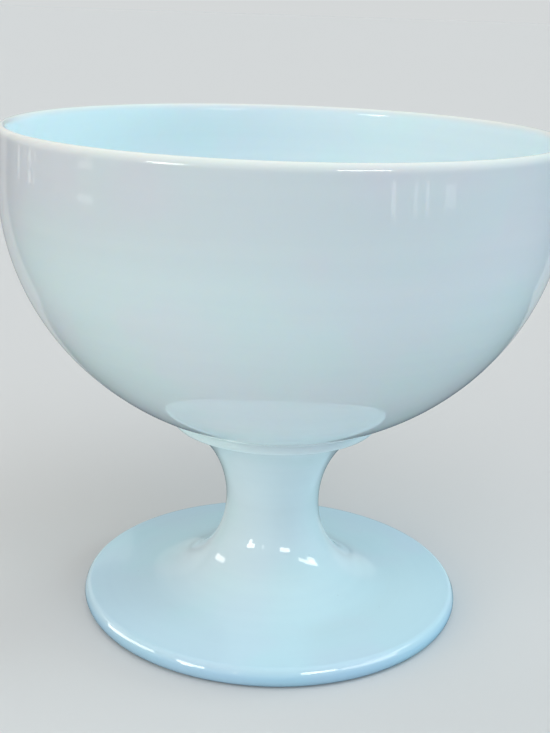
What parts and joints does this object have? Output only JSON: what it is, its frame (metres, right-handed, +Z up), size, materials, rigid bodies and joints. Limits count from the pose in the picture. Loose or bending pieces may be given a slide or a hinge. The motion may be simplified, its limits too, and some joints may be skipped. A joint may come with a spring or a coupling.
{
  "type": "footed compote bowl",
  "caption": "Deep round opaline glass bowl on a waisted stem and a wide round foot, with a thin saucer-like merese between bowl and stem; an open serving bowl that stands on a table.",
  "frame": {"origin": "centre of the foot on the table plane, at the bottom of the rest ring", "axes": "+Z up along the axis of revolution; X and Y are alike because every piece is round"},
  "size_m": [0.191, 0.191, 0.1737],
  "materials": {
    "opaline_glass": "glossy"
  },
  "bodies": {
    "root": {"bowl": "opaline_glass", "merese": "opaline_glass", "stem": "opaline_glass", "foot": "opaline_glass"}
  },
  "joints": []
}
